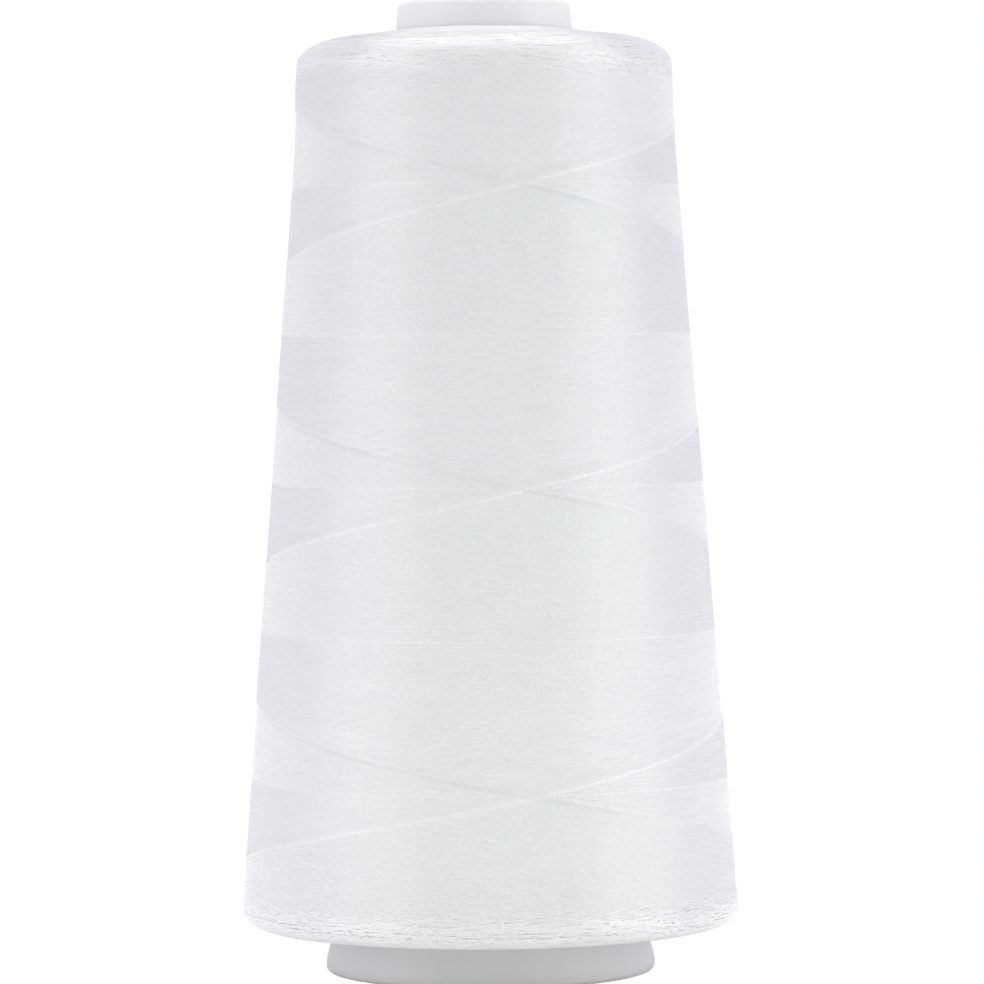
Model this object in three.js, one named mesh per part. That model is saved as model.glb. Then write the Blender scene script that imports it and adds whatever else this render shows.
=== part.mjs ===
// A cone of sewing thread: one cross-wound package of thread on a hollow tapered plastic core.
// Millimetres, +Z up. The origin is the centre of the core's foot, on the surface it stands on, and -Y is the front.
import * as THREE from "three";

// Driving dimensions.
const CORE_HEIGHT = 170;
const CONE_TAPER = Math.tan(THREE.MathUtils.degToRad(4 + 20 / 60)); // radius lost for each mm of height
const CORE_TOP_RADIUS = 15.1; // outside, carried on up to the full height
const CORE_WALL = 1.5;
const CORE_LIP_ROUND = 1.1; // outer edge of the tip
const FOOT = {
  radius: 28.9, // the skirt that the core stands on
  wall: 2.4,
  edge: 1.0, // chamfer under the skirt
  ringTop: 1.9, // where the skirt starts to draw in
  flareTop: 8.0, // where it meets the straight taper
};
const PACKAGE = {
  bottom: 8.4, // flat lower end, just above the foot's flare
  bottomRound: 3.1, // lower outer edge
  baseRadius: 43.65, // outside, at the top of the lower edge
  shoulderRadius: 32.25, // outside, where the straight side ends
  shoulderHeight: 159.0,
  shoulderRound: 10.1, // how far the domed upper edge curves in
  collar: 165.1, // height at which the sloping upper end meets the core
  endSlope: 0.162, // fall of the upper end for each mm of radius
};
const END_BULGE = { rise: 0.64, reach: 9 }; // turns gather at the upper reversal
const GAP = 0.3; // between the thread and the core

// The wind: two families of turns, one climbing to the right and one to the left, that cross at the front. The newest
// turn of each stands a layer of thread over what it lies on, and those laid before it sink back over one lead.
const WIND = { lead: 51.7, crossingHeight: 85.9, crossingAzimuth: THREE.MathUtils.degToRad(12) };
const LAYER = 0.3;
const TWIST_FADE = 6; // the layers run out towards the package's ends

// Fineness of the meshes.
const PACKAGE_COLUMNS = 40; // round the axis; one turn of the wind is as many rows high
const CORE_COLUMNS = 80;
const ARC_STEPS = 5; // in a rounded edge

// Outside radius of the core's straight taper.
function coreRadius(z) {
  return CORE_TOP_RADIUS + CONE_TAPER * (CORE_HEIGHT - z);
}

// Points of a quarter of an ellipse, from the angle start (in quarter turns) on, without its first point.
function quarterArc(centre, sizeR, sizeZ, start) {
  const points = [];
  for (let i = 1; i <= ARC_STEPS; i++) {
    const angle = (start + i / ARC_STEPS) * (Math.PI / 2);
    points.push({
      r: centre.r + sizeR * Math.cos(angle),
      z: centre.z + sizeZ * Math.sin(angle),
    });
  }
  return points;
}

// The core: a thin tapered tube, open at both ends, with a rounded tip and a flared foot.
function coreGeometry() {
  const tip = { r: CORE_TOP_RADIUS - CORE_LIP_ROUND, z: CORE_HEIGHT - CORE_LIP_ROUND };
  const outside = [
    { r: FOOT.radius - FOOT.edge, z: 0 },
    { r: FOOT.radius, z: FOOT.edge },
    { r: FOOT.radius, z: FOOT.ringTop },
    { r: coreRadius(FOOT.flareTop), z: FOOT.flareTop },
    { r: coreRadius(tip.z), z: tip.z },
    ...quarterArc(tip, CORE_LIP_ROUND, CORE_LIP_ROUND, 0),
  ];
  const inside = [
    { r: CORE_TOP_RADIUS - CORE_WALL, z: CORE_HEIGHT },
    { r: coreRadius(FOOT.flareTop) - CORE_WALL, z: FOOT.flareTop },
    { r: FOOT.radius - FOOT.wall, z: FOOT.ringTop },
    { r: FOOT.radius - FOOT.wall, z: 0 },
  ];
  const profile = [...outside, ...inside, outside[0]].map((p) => new THREE.Vector2(p.r, p.z));
  const geometry = new THREE.LatheGeometry(profile, CORE_COLUMNS, 0, 2 * Math.PI);
  return geometry.rotateX(Math.PI / 2).rotateZ(WIND.crossingAzimuth);
}

// Radius of the package's bore at a corner, so that the flats between its corners clear the core too.
function boreRadius(z) {
  return (coreRadius(z) + GAP) / Math.cos(Math.PI / PACKAGE_COLUMNS);
}

// Outside radius of the package's side, before the twists are raised on it.
function sideRadius(z) {
  const foot = PACKAGE.bottom + PACKAGE.bottomRound;
  const share = (z - foot) / (PACKAGE.shoulderHeight - foot);
  const bulge = END_BULGE.rise * Math.exp(-(((z - PACKAGE.shoulderHeight) / END_BULGE.reach) ** 2));
  return THREE.MathUtils.lerp(PACKAGE.baseRadius, PACKAGE.shoulderRadius, share) + bulge;
}

// How far the layers stand out at a column and row, both counted from a crossing. Turns that climb to the right were
// laid from below their newest one, and turns that climb to the left from above theirs.
function twist(column, row, z) {
  const ageOfRight = THREE.MathUtils.euclideanModulo(column - row, PACKAGE_COLUMNS) / PACKAGE_COLUMNS;
  const ageOfLeft = THREE.MathUtils.euclideanModulo(column + row, PACKAGE_COLUMNS) / PACKAGE_COLUMNS;
  const toEnd = Math.min(z - PACKAGE.bottom - PACKAGE.bottomRound, PACKAGE.shoulderHeight - z);
  return LAYER * (1 - ageOfRight - ageOfLeft) * THREE.MathUtils.smoothstep(toEnd, 0, TWIST_FADE);
}

// The package's rings, from the core outwards along the lower end, up the side and back along the upper end.
// Only the rings of the straight side have a row, and so the twists.
function packageRings() {
  const foot = PACKAGE.bottom + PACKAGE.bottomRound;
  const lowerEdge = { r: PACKAGE.baseRadius - PACKAGE.bottomRound, z: foot };
  const rings = [
    { r: boreRadius(PACKAGE.bottom), z: PACKAGE.bottom },
    { r: lowerEdge.r, z: PACKAGE.bottom },
    ...quarterArc(lowerEdge, PACKAGE.bottomRound, PACKAGE.bottomRound, -1),
  ];

  const rowHeight = WIND.lead / PACKAGE_COLUMNS;
  const firstRow = Math.ceil((foot - WIND.crossingHeight) / rowHeight + 1 / 2);
  const lastRow = Math.floor((PACKAGE.shoulderHeight - WIND.crossingHeight) / rowHeight - 1 / 2);
  for (let row = firstRow; row <= lastRow; row++) {
    const z = WIND.crossingHeight + row * rowHeight;
    rings.push({ r: sideRadius(z), z, row });
  }

  const shoulder = { r: sideRadius(PACKAGE.shoulderHeight), z: PACKAGE.shoulderHeight };
  const brow = shoulder.r - PACKAGE.shoulderRound;
  const browHeight = PACKAGE.collar - PACKAGE.endSlope * (brow - boreRadius(PACKAGE.collar));
  rings.push(
    shoulder,
    ...quarterArc({ r: brow, z: shoulder.z }, PACKAGE.shoulderRound, browHeight - shoulder.z, 0),
    { r: boreRadius(PACKAGE.collar), z: PACKAGE.collar },
  );
  return rings;
}

// The package: rings of points joined by triangles. Where a row and a column add up to an even number, the point has
// diagonals in all four directions, so both families of turns run along edges of the mesh.
function packageGeometry() {
  const rings = packageRings();
  const positions = [];
  rings.forEach((ring) => {
    for (let column = 0; column < PACKAGE_COLUMNS; column++) {
      const azimuth = WIND.crossingAzimuth + (column / PACKAGE_COLUMNS) * 2 * Math.PI;
      const r = ring.r + (ring.row === undefined ? 0 : twist(column, ring.row, ring.z));
      positions.push(r * Math.sin(azimuth), -r * Math.cos(azimuth), ring.z);
    }
  });
  const index = [];
  rings.forEach((ring, k) => {
    const above = ((k + 1) % rings.length) * PACKAGE_COLUMNS;
    for (let column = 0; column < PACKAGE_COLUMNS; column++) {
      const next = (column + 1) % PACKAGE_COLUMNS;
      const [a, b] = [k * PACKAGE_COLUMNS + column, k * PACKAGE_COLUMNS + next];
      const [c, d] = [above + column, above + next];
      const even = (((ring.row ?? k) + column) & 1) === 0;
      if (even) index.push(a, b, d, a, d, c);
      else index.push(a, b, c, b, d, c);
    }
  });
  const geometry = new THREE.BufferGeometry();
  geometry.setAttribute("position", new THREE.Float32BufferAttribute(positions, 3));
  geometry.setIndex(index);
  geometry.computeVertexNormals();
  return geometry;
}

function coneOfThread() {
  const plastic = new THREE.MeshStandardMaterial({ color: 0xe9e9ea, roughness: 0.45, metalness: 0 });
  const thread = new THREE.MeshStandardMaterial({ color: 0xf4f4f7, roughness: 0.75, metalness: 0 });
  const core = new THREE.Mesh(coreGeometry(), plastic);
  core.name = "core";
  const winding = new THREE.Mesh(packageGeometry(), thread);
  winding.name = "thread_winding";
  return new THREE.Group().add(core, winding);
}

export default coneOfThread();
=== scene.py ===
"""A cone of sewing thread: the finish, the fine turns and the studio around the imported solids.

The thread is laid as it is on a real winder. Each pass climbs from one end to the other, turns round and
comes back climbing the other way, and every later pass lies a thread's width beside the one before. The
newest pass of each family stands proud, and the older ones behind it sink by up to one layer over the lead.
"""

import math

import bpy
import numpy as np
from mathutils import Matrix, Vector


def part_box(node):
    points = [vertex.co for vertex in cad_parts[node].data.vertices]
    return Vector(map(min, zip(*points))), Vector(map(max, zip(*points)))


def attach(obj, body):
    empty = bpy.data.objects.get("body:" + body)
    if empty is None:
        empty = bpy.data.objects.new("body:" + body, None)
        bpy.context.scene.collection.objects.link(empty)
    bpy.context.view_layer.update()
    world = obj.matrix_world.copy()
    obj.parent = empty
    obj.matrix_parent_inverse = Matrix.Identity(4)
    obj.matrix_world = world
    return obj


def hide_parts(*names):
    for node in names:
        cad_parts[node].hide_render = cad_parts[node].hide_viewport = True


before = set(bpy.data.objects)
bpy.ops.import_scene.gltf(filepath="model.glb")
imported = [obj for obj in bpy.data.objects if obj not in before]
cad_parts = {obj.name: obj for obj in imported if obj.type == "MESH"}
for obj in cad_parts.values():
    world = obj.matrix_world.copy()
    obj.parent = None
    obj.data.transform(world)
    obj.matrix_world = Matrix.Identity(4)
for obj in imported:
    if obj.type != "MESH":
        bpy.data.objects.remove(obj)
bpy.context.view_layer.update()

MM = 0.001
TURN = 2 * math.pi
RANDOM = np.random.RandomState(7)

# --- Sizes of the core and the package, in mm --------------------------------------------------------------

CORE_TOP_RADIUS = 15.1  # outside, carried on up to the full height
CORE_WALL = 1.5
CORE_LIP_ROUND = 1.1
CORE_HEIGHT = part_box("core")[1].z / MM
CONE_TAPER = math.tan(math.radians(4 + 20 / 60))
FOOT_RADIUS = 28.9
FOOT_WALL = 2.4
FOOT_EDGE = 0.9  # round under the skirt
FOOT_INNER_EDGE = 0.4
FOOT_RING_TOP = 1.9
FOOT_FLARE_TOP = 8.0
FLARE_EASE = 0.4  # how much of an S the flare is: 0 is a straight slope

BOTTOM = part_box("thread_winding")[0].z / MM
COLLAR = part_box("thread_winding")[1].z / MM
BOTTOM_ROUND = 3.1
BASE_RADIUS = 43.65
SHOULDER_RADIUS = 32.25
SHOULDER_HEIGHT = 159.0
SHOULDER_ROUND = 10.1
END_SLOPE = 0.162
END_BULGE_RISE = 0.64
END_BULGE_REACH = 9
GAP = 0.3  # between the thread and the core

# --- The wind, in mm and radians ---------------------------------------------------------------------------

LEAD = 51.7
CROSSING_HEIGHT = 85.9
CROSSING_AZIMUTH = math.radians(12)
PASSES = 202  # of each family, side by side over one lead
# How far the newest pass of each family stands over what it lies on, at most, the azimuth where it stands out
# most, and the height over which a few of the oldest passes lean on it.
RIGHT_LAYER = {"step": 0.13, "proudest": math.radians(35), "lean": 1.8}
LEFT_LAYER = {"step": 0.22, "proudest": math.radians(-15), "lean": 1.1}
LAYER_SWING = 0.4  # share of the step that comes and goes round the package
LAYER_SINK = 1.5  # power by which the passes sink, fastest just behind the newest one
LAYER_MEAN = 1 / (LAYER_SINK + 1)  # of the sinking, over one lead
LAYER_FADE = 5.0  # the layers run out towards the side's two ends

THREAD_WIDTH = 0.36  # flattened, so that neighbours overlap and close the grooves between them
THREAD_HEIGHT = 0.065
END_THREAD_HEIGHT = 0.04  # pressed flatter where the passes turn round over each other
STEPS_PER_TURN = 76
# Half of what a thread's chords lie under its true curve, so that on the whole they keep its height.
CHORD_RISE = BASE_RADIUS * (1 - math.cos(math.pi / STEPS_PER_TURN)) / 2
DIVE_LENGTH = 0.6  # height over which a thread slips under the other family
DIVE_DEPTH = 0.16
DIVE_CURVE = 1.5
# A thread has extra points this far from the other family's newest pass, so that it leans on it softly.
LEAN_POINTS = np.array([0.2, 0.4, 0.6])
LOW_OVERRUN = 2.0  # the side's passes run on over the edges by this much
HIGH_OVERRUN = 1.0

# How unevenly the thread is laid.
PASS_SHIFT = 0.005
PASS_LIFT = 0.002
WANDER_SIZE = 0.012
WANDER_LENGTHS = (7.0, 17.0, 41.0)
WANDER_TURN = 0.1  # radians from each pass to the next


def smooth(share):
    """Eases a share from 0 to 1, level at both ends."""
    return share * share * (3 - 2 * share)


# --- Meshes ------------------------------------------------------------------------------------------------

def mesh_object(name, points, smooth_faces, flat_faces=()):
    """A mesh from an array of points, in mm, and lists of arrays of faces."""
    groups = [*smooth_faces, *flat_faces]
    corners = np.concatenate([group.ravel() for group in groups])
    sizes = np.concatenate([np.full(len(group), group.shape[1]) for group in groups])
    smooth_count = sum(len(group) for group in smooth_faces)
    mesh = bpy.data.meshes.new(name)
    mesh.vertices.add(len(points))
    mesh.vertices.foreach_set("co", (np.asarray(points) * MM).astype(np.float32).ravel())
    mesh.loops.add(len(corners))
    mesh.loops.foreach_set("vertex_index", corners.astype(np.int32))
    mesh.polygons.add(len(sizes))
    mesh.polygons.foreach_set("loop_start", (np.cumsum(sizes) - sizes).astype(np.int32))
    mesh.update(calc_edges=True)
    mesh.validate()
    mesh.polygons.foreach_set("use_smooth", np.arange(len(sizes)) < smooth_count)
    piece = bpy.data.objects.new(name, mesh)
    bpy.context.scene.collection.objects.link(piece)
    return piece


def lathe(name, profile, columns):
    """A closed profile of (radius, height) turned about the axis."""
    profile = np.array(profile, float)
    angles = CROSSING_AZIMUTH + np.arange(columns) / columns * TURN
    radius, height = profile[:, 0, None], profile[:, 1, None]
    coordinates = np.broadcast_arrays(radius * np.sin(angles), -radius * np.cos(angles), height)
    points = np.stack(coordinates, axis=2)
    ring = np.arange(len(profile))[:, None] * columns
    above = np.roll(ring, -1, axis=0)
    column = np.arange(columns)[None, :]
    after = (column + 1) % columns
    faces = np.stack([ring + column, ring + after, above + after, above + column], axis=2)
    return mesh_object(name, points.reshape(-1, 3), [faces.reshape(-1, 4)])


def arc(centre, size_r, size_z, start, end, steps):
    """Points of an elliptical arc in the profile's plane, angles in quarter turns, both ends kept."""
    angles = np.linspace(start, end, steps + 1) * math.pi / 2
    return [(centre[0] + size_r * math.cos(a), centre[1] + size_z * math.sin(a)) for a in angles]


def straight(start, end, steps):
    """Points between two corners of a profile, both left out."""
    return [tuple(np.array(start) + (np.array(end) - start) * k / steps) for k in range(1, steps)]


# --- The core ----------------------------------------------------------------------------------------------

CORE_COLUMNS = 192
FOOT_EDGE_STEPS = 6
FOOT_INNER_EDGE_STEPS = 3
FLARE_STEPS = 12
TAPER_STEPS = 24
LIP_STEPS = 8
INNER_LIP_STEPS = 4


def core_radius(z):
    """Outside radius of the core's straight taper."""
    return CORE_TOP_RADIUS + CONE_TAPER * (CORE_HEIGHT - z)


def core_profile():
    """The tube's outside from foot to tip, then its inside from tip to foot."""
    foot_in = FOOT_RADIUS - FOOT_WALL
    tip_in = CORE_TOP_RADIUS - CORE_WALL
    flare = (core_radius(FOOT_FLARE_TOP), FOOT_FLARE_TOP)
    tip = (CORE_TOP_RADIUS - CORE_LIP_ROUND, CORE_HEIGHT - CORE_LIP_ROUND)
    outside = arc((FOOT_RADIUS - FOOT_EDGE, FOOT_EDGE), FOOT_EDGE, FOOT_EDGE, -1, 0, FOOT_EDGE_STEPS)
    # The skirt draws in on a soft S from the ring to the straight taper.
    for k in range(FLARE_STEPS + 1):
        share = k / FLARE_STEPS
        drawn_in = FLARE_EASE * smooth(share) + (1 - FLARE_EASE) * share
        z = FOOT_RING_TOP + share * (FOOT_FLARE_TOP - FOOT_RING_TOP)
        outside.append((FOOT_RADIUS + (flare[0] - FOOT_RADIUS) * drawn_in, z))
    outside += straight(flare, (core_radius(tip[1]), tip[1]), TAPER_STEPS)
    outside += arc(tip, CORE_LIP_ROUND, CORE_LIP_ROUND, 0, 1, LIP_STEPS)

    lip_in = CORE_WALL - CORE_LIP_ROUND
    inside = arc((tip_in + lip_in, CORE_HEIGHT - lip_in), lip_in, lip_in, 1, 2, INNER_LIP_STEPS)[1:]
    bend = (flare[0] - CORE_WALL, FOOT_FLARE_TOP)
    inside += straight(inside[-1], bend, TAPER_STEPS) + [bend, (foot_in, FOOT_RING_TOP)]
    edge = (foot_in + FOOT_INNER_EDGE, FOOT_INNER_EDGE)
    inside += arc(edge, FOOT_INNER_EDGE, FOOT_INNER_EDGE, 2, 3, FOOT_INNER_EDGE_STEPS)
    return outside + inside


# --- The package's form ------------------------------------------------------------------------------------
# A place on the package is an azimuth and a height v. On the straight side v is the height itself. Past the
# two ends v goes on along the profile, over the edge and in towards the core.

SIDE_LOW, SIDE_HIGH = BOTTOM + BOTTOM_ROUND, SHOULDER_HEIGHT
SIDE_POINTS = 600
LOWER_FACE_STEPS = 40
LOWER_EDGE_STEPS = 40
UPPER_EDGE_STEPS = 60
UPPER_FACE_STEPS = 30


def side_radius(z):
    """Outside radius of the package's side, without its layers."""
    share = (z - SIDE_LOW) / (SHOULDER_HEIGHT - SIDE_LOW)
    bulge = END_BULGE_RISE * np.exp(-(((z - SHOULDER_HEIGHT) / END_BULGE_REACH) ** 2))
    return BASE_RADIUS + (SHOULDER_RADIUS - BASE_RADIUS) * share + bulge


def package_profile():
    """The outline from the lower bore to the upper one, as arrays of v, radius and height."""
    edge = BASE_RADIUS - BOTTOM_ROUND
    lower = [(core_radius(BOTTOM) + GAP, BOTTOM)]
    lower += straight(lower[0], (edge, BOTTOM), LOWER_FACE_STEPS)
    lower += arc((edge, SIDE_LOW), BOTTOM_ROUND, BOTTOM_ROUND, -1, 0, LOWER_EDGE_STEPS)[:-1]

    heights = np.linspace(SIDE_LOW, SIDE_HIGH, SIDE_POINTS)
    side = list(zip(side_radius(heights), heights))

    brow = float(side_radius(SIDE_HIGH)) - SHOULDER_ROUND
    top_bore = core_radius(COLLAR) + GAP
    brow_height = COLLAR - END_SLOPE * (brow - top_bore)
    upper = arc((brow, SIDE_HIGH), SHOULDER_ROUND, brow_height - SIDE_HIGH, 0, 1, UPPER_EDGE_STEPS)[1:]
    upper += straight((brow, brow_height), (top_bore, COLLAR), UPPER_FACE_STEPS) + [(top_bore, COLLAR)]

    outline = np.array(lower + side + upper, float)
    length = np.concatenate([[0], np.cumsum(np.hypot(*np.diff(outline, axis=0).T))])
    first, last = len(lower), len(lower) + len(side) - 1
    v = outline[:, 1].copy()
    v[:first] = SIDE_LOW - (length[first] - length[:first])
    v[last:] = SIDE_HIGH + (length[last:] - length[last])
    return v, outline[:, 0], outline[:, 1]


def profile_normals(v, r, z):
    """The outline's unit normals, outwards and upwards."""
    slope_r, slope_z = np.gradient(r, v), np.gradient(z, v)
    slope = np.hypot(slope_r, slope_z)
    return slope_z / slope, -slope_r / slope


PROFILE_V, PROFILE_R, PROFILE_Z = package_profile()
PROFILE_NR, PROFILE_NZ = profile_normals(PROFILE_V, PROFILE_R, PROFILE_Z)
V_LOW, V_HIGH = PROFILE_V[0], PROFILE_V[-1]


def outward(azimuth, v):
    """Unit normals of the package's form."""
    nr, nz = np.interp(v, PROFILE_V, PROFILE_NR), np.interp(v, PROFILE_V, PROFILE_NZ)
    return np.stack([nr * np.sin(azimuth), -nr * np.cos(azimuth), nz], axis=-1)


def on_package(azimuth, v, height):
    """Points on the package's form, raised by height along its normal."""
    r, z = np.interp(v, PROFILE_V, PROFILE_R), np.interp(v, PROFILE_V, PROFILE_Z)
    form = np.stack([r * np.sin(azimuth), -r * np.cos(azimuth), z], axis=-1)
    return form + height[..., None] * outward(azimuth, v)


def standing(layer, azimuth):
    """How much of a layer's step stands out round the package, up to 1."""
    return (1 - LAYER_SWING) + LAYER_SWING * np.cos(azimuth - layer["proudest"])


def relief(layer, azimuth, age):
    """Height of one family's layer over its mean; age runs from 0 at the newest pass to 1 at the oldest."""
    age = age % 1
    fall = (1 - age) ** LAYER_SINK
    rise = np.clip(1 - (1 - age) * LEAD / layer["lean"], 0, 1)
    crest = fall + (1 - fall) * smooth(rise) - LAYER_MEAN
    return layer["step"] * standing(layer, azimuth) * crest


def layers(azimuth, v, age_of_right, age_of_left):
    """Height of the layers over the package's mean form."""
    share = np.clip(np.minimum(v - SIDE_LOW, SIDE_HIGH - v) / LAYER_FADE, 0, 1)
    height = relief(RIGHT_LAYER, azimuth, age_of_right) + relief(LEFT_LAYER, azimuth, age_of_left)
    return height * smooth(share)


# --- The package's body: what is seen between the turns ----------------------------------------------------

BODY_COLUMNS = 160  # one lead is as many rows high, so both families of turns run along the mesh's edges
BODY_LOWER_END_ROWS = 25
BODY_UPPER_END_ROWS = 35
BODY_SINK = 0.10  # the body lies this far under the crowns of the turns


def package_body():
    """The form with its layers. Its triangles have diagonals along both families of turns."""
    row_height = LEAD / BODY_COLUMNS
    first = math.ceil((SIDE_LOW - CROSSING_HEIGHT) / row_height)
    last = math.floor((SIDE_HIGH - CROSSING_HEIGHT) / row_height)
    side_v = CROSSING_HEIGHT + np.arange(first, last + 1) * row_height
    low_v = np.linspace(V_LOW, side_v[0], BODY_LOWER_END_ROWS + 1)[:-1]
    high_v = np.linspace(side_v[-1], V_HIGH, BODY_UPPER_END_ROWS + 1)[1:]
    v = np.concatenate([low_v, side_v, high_v])
    rows = np.arange(first - len(low_v), last + 1 + len(high_v))

    columns = np.arange(BODY_COLUMNS)
    age_of_right = ((columns[None, :] - rows[:, None]) % BODY_COLUMNS) / BODY_COLUMNS
    age_of_left = ((columns[None, :] + rows[:, None]) % BODY_COLUMNS) / BODY_COLUMNS
    azimuth = np.broadcast_to(CROSSING_AZIMUTH + columns / BODY_COLUMNS * TURN, age_of_right.shape)
    heights = np.broadcast_to(v[:, None], age_of_right.shape)
    raised = layers(azimuth, heights, age_of_right, age_of_left)
    points = on_package(azimuth, heights, raised - BODY_SINK).reshape(-1, 3)

    ring = (np.arange(len(v)) * BODY_COLUMNS)[:, None]
    above = np.roll(ring, -1, axis=0)
    after = (columns + 1) % BODY_COLUMNS
    a, b, c, d = ring + columns, ring + after, above + columns, above + after
    even = (((rows[:, None] + columns[None, :]) & 1) == 0)[..., None]
    one = np.where(even, np.stack([a, b, d], axis=2), np.stack([a, b, c], axis=2))
    two = np.where(even, np.stack([a, d, c], axis=2), np.stack([b, d, c], axis=2))
    faces = np.concatenate([one.reshape(-1, 3), two.reshape(-1, 3)])
    return mesh_object("package_body", points, [faces])


# --- The turns ---------------------------------------------------------------------------------------------

TWIST_START = 10  # mm; each thread's twist starts at a place of its own, up to here
OWN_TONE = 0.3  # and it has a tone of its own, up to here
PAINTED_HIGHLIGHT_LINE = 0.35  # half width, in mm of height, of the white line that the newest right-climbing passes make, a painted highlight
PAINTED_SHADE_LINE = 0.8  # and of the grey one beside the newest left-climbing pass, a painted shade
PAINTED_SHADE_STRENGTH = 0.6  # how grey the painted shade is, where the painted highlight is 1


class Threads:
    """Gathers many threads into one mesh. A thread's section is a flat-bottomed arch of three corners."""

    def __init__(self):
        self.points, self.facts = [], []
        self.seen, self.unseen, self.ends = [], [], []
        self.count = 0

    def lay(self, azimuth, v, height, tone=0.0, thick=THREAD_HEIGHT):
        """One thread along azimuth and v, its crown raised by height over the package's form.

        Its tone is whiter towards 1 and greyer towards -1; on the side's turns it holds the painted highlight
        and painted shade of the main lines.
        """
        centre = on_package(azimuth, v, height + CHORD_RISE - thick / 2)
        normal = outward(azimuth, v)
        along = np.gradient(centre, axis=0)
        side = np.cross(normal, along)
        side /= np.linalg.norm(side, axis=1, keepdims=True)
        steps = len(centre)
        corners = np.stack([
            centre + side * THREAD_WIDTH / 2 - normal * thick / 2,
            centre + normal * thick / 2,
            centre - side * THREAD_WIDTH / 2 - normal * thick / 2,
        ], axis=1)
        self.points.append(corners.reshape(-1, 3))
        self.add_faces(steps)

        length = np.concatenate([[0], np.cumsum(np.linalg.norm(np.diff(centre, axis=0), axis=1))])
        facts = np.zeros((steps, 3, 3))
        facts[:, :, 0] = length[:, None] + RANDOM.uniform(0, TWIST_START)
        facts[:, :, 1] = np.array([-1, 0, 1])[None, :]
        facts[:, :, 2] = np.broadcast_to(RANDOM.uniform(0, OWN_TONE) + tone, steps)[:, None]
        self.facts.append(facts.reshape(-1, 3))
        self.count += steps * 3

    def add_faces(self, steps):
        """The next thread's two upper sides, its flat underside and its two ends."""
        at = self.count + np.arange(steps - 1)[:, None] * 3
        corner = np.arange(3)[None, :]
        after = (corner + 1) % 3
        sides = np.stack([at + corner, at + 3 + corner, at + 3 + after, at + after], axis=2)
        start, end = self.count, self.count + (steps - 1) * 3
        self.seen.append(sides[:, :2].reshape(-1, 4))
        self.unseen.append(sides[:, 2])
        self.ends.append(np.array([[start, start + 1, start + 2], [end + 2, end + 1, end]]))

    def piece(self, name):
        """One mesh of all the threads, and what the material reads of them.

        That is the place along the thread in mm, the place across it from -1 to 1, and the tone, which holds
        the painted highlight and painted shade of the main lines.
        """
        flat_faces = [np.concatenate(self.unseen), np.concatenate(self.ends)]
        made = mesh_object(name, np.concatenate(self.points), [np.concatenate(self.seen)], flat_faces)
        attribute = made.data.attributes.new("thread", "FLOAT_VECTOR", "POINT")
        attribute.data.foreach_set("vector", np.concatenate(self.facts).astype(np.float32).ravel())
        return made


def wander(v, index):
    """The slow sideways drift that neighbouring passes share, in mm of height."""
    waves = [np.sin(v / length * TURN + index * WANDER_TURN + length) for length in WANDER_LENGTHS]
    return WANDER_SIZE * sum(waves)


def painted_line_light(climb, azimuth, age_of_right, age_of_left):
    """Tones for the main lines, as painted light.

    The newest passes that climb to the right are whiter, a painted highlight, and the turns beside the newest
    left one are greyer, a painted shade.
    """
    above = LEAD * (age_of_left % 1)
    beside = np.minimum(above, LEAD - above)
    tone = -PAINTED_SHADE_STRENGTH * standing(LEFT_LAYER, azimuth) * np.exp(-((beside / PAINTED_SHADE_LINE) ** 2))
    if climb > 0:
        tone += standing(RIGHT_LAYER, azimuth) * np.exp(-((LEAD * age_of_right / PAINTED_HIGHLIGHT_LINE) ** 2))
    return tone


def side_turns(name, climb):
    """One family's passes over the side, only where they lie on top; climb is 1 to the right, -1 to the left.

    The two newest passes cross at the foot of each cell, half a lead high. Between them, above the crossing,
    the family that climbs to the left lies on top, and outside them the other one.
    """
    threads = Threads()
    half = LEAD / 2
    first = math.floor((SIDE_LOW - CROSSING_HEIGHT) / half)
    last = math.floor((SIDE_HIGH - CROSSING_HEIGHT) / half)
    for index in range(PASSES):
        age = index / PASSES
        shift = RANDOM.normal(0, PASS_SHIFT)
        lift = RANDOM.normal(0, PASS_LIFT)
        for cell in range(first, last + 1):
            base = CROSSING_HEIGHT + cell * half
            start, end = (0, 1 - age) if climb > 0 else (age, 1)
            low = max(base + start * half, SIDE_LOW - LOW_OVERRUN)
            high = min(base + end * half, SIDE_HIGH + HIGH_OVERRUN)
            if high < low:
                continue
            spaced = np.linspace(low, high, math.ceil((high - low) / LEAD * STEPS_PER_TURN) + 1)
            lean = high - LEAN_POINTS if climb > 0 else low + LEAN_POINTS
            lean = lean[(lean > low) & (lean < high)]
            v = np.concatenate([[low - DIVE_LENGTH, high + DIVE_LENGTH], spaced, lean])
            v = np.unique(np.round(v, 2))
            share = (v - base) / half
            azimuth = CROSSING_AZIMUTH + TURN * (climb * (v - CROSSING_HEIGHT) / LEAD + age)
            ages = (age, age + share) if climb > 0 else (1 + age - share, age)
            past = np.clip(np.maximum(low - v, v - high) / DIVE_LENGTH, 0, 1)
            height = layers(azimuth, v, *ages) - DIVE_DEPTH * past**DIVE_CURVE + lift
            drift = (shift + wander(v, index)) * TURN / LEAD
            # The tone passed here is painted light: highlight and shade along the main lines.
            threads.lay(azimuth + drift, v, height, painted_line_light(climb, azimuth, *ages))
    return threads.piece(name)


# --- The turns round the two ends --------------------------------------------------------------------------

REVERSAL = 4.0  # height over which a pass turns round
ARC_REACH = (0.8, 1.1)  # how much of the reversal a pass is laid for, at least and at most
ARC_DIVE = 0.3  # share of it, at each end, over which the pass slips under others
END_LIFT = 0.003
RING_DRIFTS = ((0.06, 2), (0.04, 5))  # how far a ring strays from the circle, and in how many waves

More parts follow.
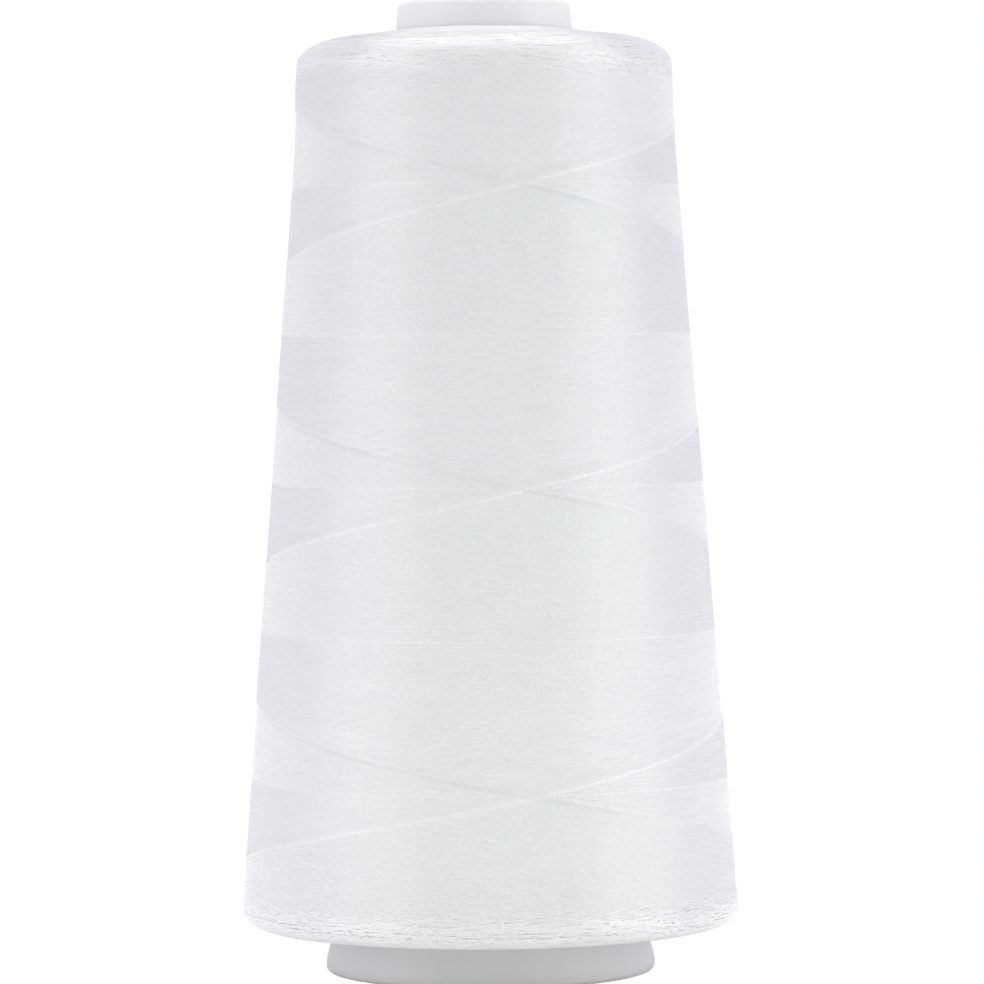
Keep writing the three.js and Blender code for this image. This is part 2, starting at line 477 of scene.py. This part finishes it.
EDGE_ARCS = 220  # passes that turn round over each edge
UPPER_FACE_ARCS = 60  # and over each end face
LOWER_FACE_ARCS = 40
UPPER_EDGE = (SIDE_HIGH - 0.5, SIDE_HIGH + 6.0)  # where the passes over an edge turn round
LOWER_EDGE = (SIDE_LOW - 5.0, SIDE_LOW + 0.5)
UPPER_RINGS_START = SIDE_HIGH + 0.5
LOWER_RINGS_END = SIDE_LOW - 1.5
RINGS_FROM_BORE = 0.1
ARCS_FROM_BORE = 1.0


def end_arcs(threads, count, ends, direction):
    """Passes that turn round at one end of the package; direction is 1 at the upper end, -1 at the lower."""
    climb = LEAD / TURN
    for index in range(count):
        middle = (index + RANDOM.uniform(-0.5, 0.5)) / count * TURN
        end = RANDOM.uniform(*ends)
        reach = 2 * REVERSAL / climb * RANDOM.uniform(*ARC_REACH)
        steps = math.ceil(2 * reach / TURN * STEPS_PER_TURN) + 1
        turn = np.linspace(-reach, reach, steps)
        v = end - direction * climb**2 * turn**2 / (4 * REVERSAL)
        past = np.clip((np.abs(turn) / reach - (1 - ARC_DIVE)) / ARC_DIVE, 0, 1)
        height = RANDOM.normal(0.0, END_LIFT) - DIVE_DEPTH * past**DIVE_CURVE
        threads.lay(middle + turn, v, height, thick=END_THREAD_HEIGHT)


def end_rings(threads, start, end):
    """Threads round an end face, side by side, each a little off the circle."""
    for v in np.arange(start, end, LEAD / PASSES):
        turn = np.linspace(0, TURN, STEPS_PER_TURN + 1) + RANDOM.uniform(0, TURN)
        drift = sum(size * np.sin(turn * waves + RANDOM.uniform(0, TURN)) for size, waves in RING_DRIFTS)
        height = np.full_like(turn, RANDOM.normal(0.0, END_LIFT))
        threads.lay(turn, v + drift, height, thick=END_THREAD_HEIGHT)


def upper_end():
    """The turns over the upper edge and the upper end face."""
    threads = Threads()
    end_rings(threads, UPPER_RINGS_START, V_HIGH - RINGS_FROM_BORE)
    end_arcs(threads, EDGE_ARCS, UPPER_EDGE, 1)
    end_arcs(threads, UPPER_FACE_ARCS, (UPPER_EDGE[1], V_HIGH - ARCS_FROM_BORE), 1)
    return threads.piece("upper_end_turns")


def lower_end():
    """The turns over the lower edge and the lower end face."""
    threads = Threads()
    end_rings(threads, V_LOW + RINGS_FROM_BORE, LOWER_RINGS_END)
    end_arcs(threads, EDGE_ARCS, LOWER_EDGE, -1)
    end_arcs(threads, LOWER_FACE_ARCS, (V_LOW + ARCS_FROM_BORE, LOWER_EDGE[0]), -1)
    return threads.piece("lower_end_turns")


# --- Material nodes ----------------------------------------------------------------------------------------

def new_material(name):
    """A material, its nodes and links, and its shader."""
    material = bpy.data.materials.new(name)
    material.use_nodes = True
    nodes = material.node_tree.nodes
    return material, nodes, material.node_tree.links, nodes["Principled BSDF"]


def math_node(nodes, links, operation, first, second=None):
    """A calculation on one or two inputs, each a number or another node's output."""
    node = nodes.new("ShaderNodeMath")
    node.operation = operation
    for socket, value in zip(node.inputs, (first, second)):
        if isinstance(value, (int, float)):
            socket.default_value = value
        elif value is not None:
            links.new(value, socket)
    return node.outputs[0]


def scaled(nodes, links, value, factor, offset):
    """An output times a factor, plus an offset."""
    return math_node(nodes, links, "ADD", math_node(nodes, links, "MULTIPLY", value, factor), offset)


def noise(nodes, links, scale, detail, stretch=(1, 1, 1)):
    """Noise over the object's own coordinates, scale in features a metre."""
    place = nodes.new("ShaderNodeTexCoord")
    mapping = nodes.new("ShaderNodeMapping")
    mapping.inputs["Scale"].default_value = stretch
    links.new(place.outputs["Object"], mapping.inputs["Vector"])
    node = nodes.new("ShaderNodeTexNoise")
    node.inputs["Scale"].default_value = scale
    node.inputs["Detail"].default_value = detail
    links.new(mapping.outputs["Vector"], node.inputs["Vector"])
    return node.outputs["Fac"]


def ramp(nodes, links, value, stops):
    """A colour that follows a value through stops of a position and a colour."""
    node = nodes.new("ShaderNodeValToRGB")
    elements = node.color_ramp.elements
    for _ in range(len(stops) - 2):
        elements.new(0.5)
    for element, (position, colour) in zip(elements, stops):
        element.position = position
        element.color = (*colour, 1)
    links.new(value, node.inputs["Fac"])
    return node.outputs["Color"]


def bump(nodes, links, height, distance):
    """A relief of the given height, in mm."""
    node = nodes.new("ShaderNodeBump")
    node.inputs["Distance"].default_value = distance * MM
    links.new(height, node.inputs["Height"])
    return node.outputs["Normal"]


def whites(stops, white=1.0):
    """Stops for a ramp, from positions and shares of a white."""
    return [(position, (white * share,) * 3) for position, share in stops]


# --- Materials ---------------------------------------------------------------------------------------------

THREAD_WHITE = 0.845
THREAD_RELIEF = 0.003  # mm
THREAD_ROUGHNESS = {"factor": 0.06, "offset": 0.24}
PLY_LENGTH = 0.42  # mm of thread for one turn of its two plies
PLY_SLANT = 1.6  # radians that a ply goes on by from the middle of the thread to its edge
FIBRES = {"scale": 9000, "detail": 3}
FIBRE_RELIEF = 0.5  # share of the plies' relief
CLOUDS = {"scale": 60, "detail": 3}
CLOUD_TONE = 0.15
# The tone runs from the lowest one up, and the scale brings it into the ramp's range. The stops are positions
# on the ramp and the share of the thread's white there.
LOWEST_TONE = -1.0
TONE_SCALE = 0.4
TONE_STOPS = ((0.05, 0.92), (0.40, 0.995), (0.58, 1.005), (0.88, 1.12))

UNDER_RELIEF = 0.01  # mm
UNDER_ROUGHNESS = {"factor": 0.2, "offset": 0.5}
UNDER_CLOUDS = {"scale": 400, "detail": 3}
UNDER_STOPS = ((0.2, 0.93), (0.8, 1.0))

PLASTIC_RELIEF = 0.01  # mm
PLASTIC_ROUGHNESS = {"factor": 0.12, "offset": 0.42}
PLASTIC_GRAIN = {"scale": 2600, "detail": 2}
FLOW_CLOUDS = {"scale": 45, "detail": 3, "stretch": (1, 1, 0.35)}
PLASTIC_STOPS = ((0.25, 0.90), (0.75, 0.93))


def thread_material():
    """Bright white spun thread: two twisted plies, fine fibres, a tone of its own for each pass, and painted
    highlight and shade along the main lines.
    """
    material, nodes, links, shader = new_material("spun_thread")
    facts = nodes.new("ShaderNodeAttribute")
    facts.attribute_name = "thread"
    split = nodes.new("ShaderNodeSeparateXYZ")
    links.new(facts.outputs["Vector"], split.inputs[0])
    # The tone is each pass's own, plus the painted highlight and painted shade of the main lines.
    along, across, own = split.outputs

    twist = math_node(nodes, links, "ADD", math_node(nodes, links, "MULTIPLY", along, TURN / PLY_LENGTH),
                      math_node(nodes, links, "MULTIPLY", across, PLY_SLANT))
    plies = math_node(nodes, links, "ABSOLUTE", math_node(nodes, links, "SINE", twist))
    fibres = noise(nodes, links, **FIBRES)
    height = math_node(nodes, links, "ADD", plies, math_node(nodes, links, "MULTIPLY", fibres, FIBRE_RELIEF))
    links.new(bump(nodes, links, height, THREAD_RELIEF), shader.inputs["Normal"])

    cloud = noise(nodes, links, **CLOUDS)
    tone = math_node(nodes, links, "ADD", own, math_node(nodes, links, "MULTIPLY", cloud, CLOUD_TONE))
    tone = math_node(nodes, links, "MULTIPLY", math_node(nodes, links, "ADD", tone, -LOWEST_TONE), TONE_SCALE)
    links.new(ramp(nodes, links, tone, whites(TONE_STOPS, THREAD_WHITE)), shader.inputs["Base Color"])
    links.new(scaled(nodes, links, fibres, **THREAD_ROUGHNESS), shader.inputs["Roughness"])
    shader.inputs["IOR"].default_value = 1.8
    shader.inputs["Specular IOR Level"].default_value = 1.0
    return material


def under_material():
    """The turns below the top ones: fine crossed grooves round the package, in the same thread."""
    material, nodes, links, shader = new_material("deep_thread")
    place = nodes.new("ShaderNodeTexCoord")
    split = nodes.new("ShaderNodeSeparateXYZ")
    links.new(place.outputs["Object"], split.inputs[0])
    x, y, z = split.outputs
    azimuth = math_node(nodes, links, "ARCTAN2", x, math_node(nodes, links, "MULTIPLY", y, -1.0))
    phase = math_node(nodes, links, "MULTIPLY", azimuth, PASSES)
    height = math_node(nodes, links, "MULTIPLY", z, PASSES * TURN / (LEAD * MM))
    right = math_node(nodes, links, "SINE", math_node(nodes, links, "SUBTRACT", height, phase))
    left = math_node(nodes, links, "SINE", math_node(nodes, links, "ADD", height, phase))
    crossed = math_node(nodes, links, "MAXIMUM", right, left)
    links.new(bump(nodes, links, crossed, UNDER_RELIEF), shader.inputs["Normal"])
    cloud = noise(nodes, links, **UNDER_CLOUDS)
    links.new(ramp(nodes, links, cloud, whites(UNDER_STOPS, THREAD_WHITE)), shader.inputs["Base Color"])
    links.new(scaled(nodes, links, cloud, **UNDER_ROUGHNESS), shader.inputs["Roughness"])
    return material


def plastic_material():
    """Natural white moulded plastic: satin, a little cloudy, with faint flow lines along the cone."""
    material, nodes, links, shader = new_material("moulded_plastic")
    cloud = noise(nodes, links, **FLOW_CLOUDS)
    grain = noise(nodes, links, **PLASTIC_GRAIN)
    links.new(ramp(nodes, links, cloud, whites(PLASTIC_STOPS)), shader.inputs["Base Color"])
    links.new(scaled(nodes, links, grain, **PLASTIC_ROUGHNESS), shader.inputs["Roughness"])
    links.new(bump(nodes, links, grain, PLASTIC_RELIEF), shader.inputs["Normal"])
    shader.inputs["Subsurface Weight"].default_value = 0.15
    shader.inputs["Subsurface Radius"].default_value = (0.0015, 0.0015, 0.0016)
    shader.inputs["Subsurface Scale"].default_value = 1.0
    return material


# --- The pieces --------------------------------------------------------------------------------------------

spun_thread = thread_material()

core = lathe("core_tube", core_profile(), CORE_COLUMNS)
core.data.materials.append(plastic_material())
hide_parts("core")
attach(core, "root")

body = package_body()
body.data.materials.append(under_material())
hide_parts("thread_winding")
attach(body, "root")

right_climbing = side_turns("right_climbing_turns", 1)
left_climbing = side_turns("left_climbing_turns", -1)
for turns in (right_climbing, left_climbing, upper_end(), lower_end()):
    turns.data.materials.append(spun_thread)
    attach(turns, "root")


# --- The studio, in metres and degrees ---------------------------------------------------------------------

PLAIN_WHITE = 1.02  # what the camera sees instead of the lights
FLOOR_HALF = 6.0  # half of its side
FLOOR_CLOUDS = {"scale": 3, "detail": 2}
FLOOR_STOPS = ((0.3, 0.78), (0.7, 0.80))
FLOOR_WHITE = 0.97  # share of plain white in what the camera sees of the floor
PAINTED_GLOW_NEAR = 0.43  # painted glow of the floor round the package
PAINTED_GLOW_FAR = 0.02
# How far from the axis the painted glow sets in, is full, begins to fade and has faded. There is none under
# the
# package: a painted shadow, in which the foot stands.
PAINTED_GLOW_STOPS = ((0.035, 0), (0.065, PAINTED_GLOW_NEAR), (0.20, PAINTED_GLOW_NEAR), (0.50, PAINTED_GLOW_FAR))

WORLD_ROOM = (0.355, 0.355, 0.355)
WORLD_SIDES = (0.35, 0.33, 0.41)  # a little lavender
WORLD_BACK = (0.76, 0.715, 0.945)  # low behind the object, where the white backdrop stands
WORLD_STOPS = ((0.45, WORLD_ROOM), (0.62, WORLD_SIDES), (0.87, WORLD_BACK))
BACK_FLATTENING = 0.8  # how much the light from behind falls off with height
BACK_TO_LEFT = 0.12

TOP_LIGHT = {"strength": 1.85, "spread": 70, "tilt": 8}
LEFT_SOFTBOX = {"azimuth": -63, "power": 16.5}
RIGHT_SOFTBOX = {"azimuth": 71, "power": 19.5}
SOFTBOX_ELEVATION = 12
SOFTBOX_DISTANCE = 2.2
SOFTBOX_WIDTH, SOFTBOX_HEIGHT = 1.7, 2.0
SOFTBOX_AIM = 0.085  # height of the middle of the package

# The camera stands where the photograph was taken from: its place, its turn and its picture angle.
CAMERA_DISTANCE = 0.8701
CAMERA_HEIGHT = 0.1126
CAMERA_LENS = 181.0  # mm, over a picture 36 mm wide
CAMERA_PITCH = 0.03274  # radians, looks down
CAMERA_YAW = 0.00095
CAMERA_ROLL = -0.00731


def seen_white(nodes, links, light, share):
    """The light as it falls on the object; what the camera sees directly is mostly plain white."""
    white = nodes.new("ShaderNodeBackground" if light.node.type == "BACKGROUND" else "ShaderNodeEmission")
    white.inputs["Color"].default_value = (PLAIN_WHITE, PLAIN_WHITE, PLAIN_WHITE, 1)
    path = nodes.new("ShaderNodeLightPath")
    mix = nodes.new("ShaderNodeMixShader")
    links.new(math_node(nodes, links, "MULTIPLY", path.outputs["Is Camera Ray"], share), mix.inputs["Fac"])
    links.new(light, mix.inputs[1])
    links.new(white.outputs[0], mix.inputs[2])
    return mix.outputs[0]


def floor_material():
    """A pale, matt floor with a painted glow round the package that lights it a little from below, and a
    painted shadow under it.
    """
    material, nodes, links, shader = new_material("white_floor")
    cloud = noise(nodes, links, **FLOOR_CLOUDS)
    links.new(ramp(nodes, links, cloud, whites(FLOOR_STOPS)), shader.inputs["Base Color"])
    shader.inputs["Roughness"].default_value = 0.9
    shader.inputs["Specular IOR Level"].default_value = 0.1
    place = nodes.new("ShaderNodeTexCoord")
    distance = nodes.new("ShaderNodeVectorMath")
    distance.operation = "LENGTH"
    links.new(place.outputs["Object"], distance.inputs[0])
    # Painted light: the floor glows round the package, and has none under it, a painted shadow.
    glow = ramp(nodes, links, distance.outputs["Value"], whites(PAINTED_GLOW_STOPS))
    links.new(glow, shader.inputs["Emission Color"])
    shader.inputs["Emission Strength"].default_value = 1.0
    seen = seen_white(nodes, links, shader.outputs[0], FLOOR_WHITE)
    links.new(seen, nodes["Material Output"].inputs["Surface"])
    return material


def add_floor():
    """The surface that the foot stands on."""
    half = FLOOR_HALF / MM
    corners = np.array([(-half, -half, 0), (half, -half, 0), (half, half, 0), (-half, half, 0)], float)
    floor = mesh_object("studio_floor", corners, [], [np.array([[0, 1, 2, 3]])])
    floor.data.materials.append(floor_material())


def add_world():
    """A dim room, brighter low behind the object and a little to the left; the camera sees plain white."""
    world = bpy.data.worlds.new("studio")
    bpy.context.scene.world = world
    world.use_nodes = True
    nodes, links = world.node_tree.nodes, world.node_tree.links
    place = nodes.new("ShaderNodeTexCoord")
    split = nodes.new("ShaderNodeSeparateXYZ")
    links.new(place.outputs["Generated"], split.inputs[0])
    x, y, z = split.outputs
    light = nodes["Background"]
    low = math_node(nodes, links, "SUBTRACT", 1.0, math_node(nodes, links, "MULTIPLY", z, BACK_FLATTENING))
    away = math_node(nodes, links, "SUBTRACT", y, math_node(nodes, links, "MULTIPLY", x, BACK_TO_LEFT))
    behind = math_node(nodes, links, "MULTIPLY", away, low)
    # From -1 in front to 1 behind, onto the ramp's range.
    turned = scaled(nodes, links, behind, 0.5, 0.5)
    links.new(ramp(nodes, links, turned, WORLD_STOPS), light.inputs["Color"])
    links.new(seen_white(nodes, links, light.outputs[0], 1), nodes["World Output"].inputs["Surface"])


def add_softbox(name, azimuth, power):
    """A soft light aimed at the middle of the package; azimuth 0 is in front and positive to the right."""
    data = bpy.data.lights.new(name, "AREA")
    data.shape = "RECTANGLE"
    data.size, data.size_y = SOFTBOX_WIDTH, SOFTBOX_HEIGHT
    data.energy = power
    lamp = bpy.data.objects.new(name, data)
    turn = Matrix.Rotation(math.radians(azimuth), 4, "Z")
    turn = turn @ Matrix.Rotation(math.pi / 2 - math.radians(SOFTBOX_ELEVATION), 4, "X")
    back = Matrix.Translation((0, 0, SOFTBOX_DISTANCE))
    lamp.matrix_world = Matrix.Translation((0, 0, SOFTBOX_AIM)) @ turn @ back
    bpy.context.scene.collection.objects.link(lamp)


def add_top_light(strength, spread, tilt):
    """Soft light from above and a little behind."""
    data = bpy.data.lights.new("top_light", "SUN")
    data.energy, data.angle = strength, math.radians(spread)
    lamp = bpy.data.objects.new("top_light", data)
    lamp.matrix_world = Matrix.Rotation(-math.radians(tilt), 4, "X")
    bpy.context.scene.collection.objects.link(lamp)


def add_camera():
    """The photograph's view."""
    data = bpy.data.cameras.new("camera")
    data.sensor_fit = "HORIZONTAL"
    data.sensor_width = 36
    data.lens = CAMERA_LENS
    data.clip_start, data.clip_end = 0.05, 50
    camera = bpy.data.objects.new("camera", data)
    bpy.context.scene.collection.objects.link(camera)
    turn = Matrix.Rotation(-CAMERA_YAW, 4, "Z") @ Matrix.Rotation(math.pi / 2 - CAMERA_PITCH, 4, "X")
    turn = turn @ Matrix.Rotation(CAMERA_ROLL, 4, "Z")
    camera.matrix_world = Matrix.Translation((0, -CAMERA_DISTANCE, CAMERA_HEIGHT)) @ turn
    bpy.context.scene.camera = camera


add_floor()
add_world()
add_top_light(**TOP_LIGHT)
add_softbox("left_softbox", **LEFT_SOFTBOX)
add_softbox("right_softbox", **RIGHT_SOFTBOX)
add_camera()
bpy.context.scene.view_settings.view_transform = "Standard"
